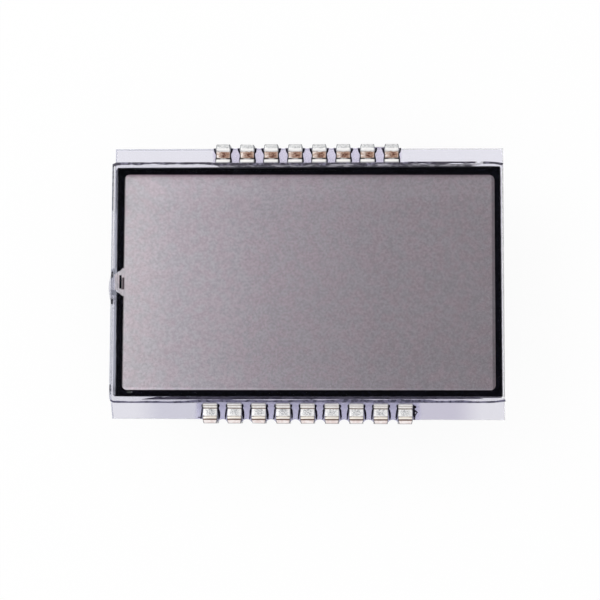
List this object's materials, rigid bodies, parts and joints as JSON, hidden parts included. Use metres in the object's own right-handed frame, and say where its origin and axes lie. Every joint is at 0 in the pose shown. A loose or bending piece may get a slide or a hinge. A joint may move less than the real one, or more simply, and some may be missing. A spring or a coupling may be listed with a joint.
{
  "type": "lcd screen",
  "caption": "Bare liquid crystal display glass in a black seal frame, standing on rows of clip-on edge pins.",
  "frame": {"origin": "under the middle of the rear glass, level with the tips of the pins", "axes": "+X along the long side, +Y towards the row of eight pins, +Z out of the viewing side"},
  "size_m": [0.0415, 0.0294, 0.0089],
  "materials": {
    "glass": "clear polished soda-lime glass with broken edges",
    "seal": "epoxy seal, black between the polarising films",
    "liquid_crystal": "unlit display fluid, neutral grey",
    "transfer_dot": "conductive silver-filled paste",
    "polariser": "smooth grey polarising film",
    "reflector": "satin metallised film",
    "plug_resin": "clear hardened resin",
    "worn_pin": "tinned bronze, worn to a copper brown at the contact",
    "tinned_pin": "bright tinned bronze with grey blotches",
    "pin_resin": "clear resin with a faint violet cast"
  },
  "bodies": {
    "root": {"rear_glass": "glass", "front_glass": "glass", "perimeter_seal": "seal", "liquid_crystal": "liquid_crystal", "common_transfer_dots": "transfer_dot", "front_polariser": "polariser", "rear_polariser": "polariser", "rear_reflector": "reflector", "fill_port_plug": "plug_resin", "upper_pin_1": "worn_pin", "upper_pin_2": "worn_pin", "upper_pin_3": "worn_pin", "upper_pin_4": "worn_pin", "upper_pin_5": "worn_pin", "upper_pin_6": "worn_pin", "upper_pin_7": "worn_pin", "upper_pin_8": "worn_pin", "lower_pin_1": "tinned_pin", "lower_pin_2": "tinned_pin", "lower_pin_3": "tinned_pin", "lower_pin_4": "tinned_pin", "lower_pin_5": "tinned_pin", "lower_pin_6": "tinned_pin", "lower_pin_7": "tinned_pin", "lower_pin_8": "tinned_pin", "lower_pin_9": "tinned_pin", "upper_pin_adhesive": "pin_resin", "lower_pin_adhesive": "pin_resin"}
  },
  "joints": []
}
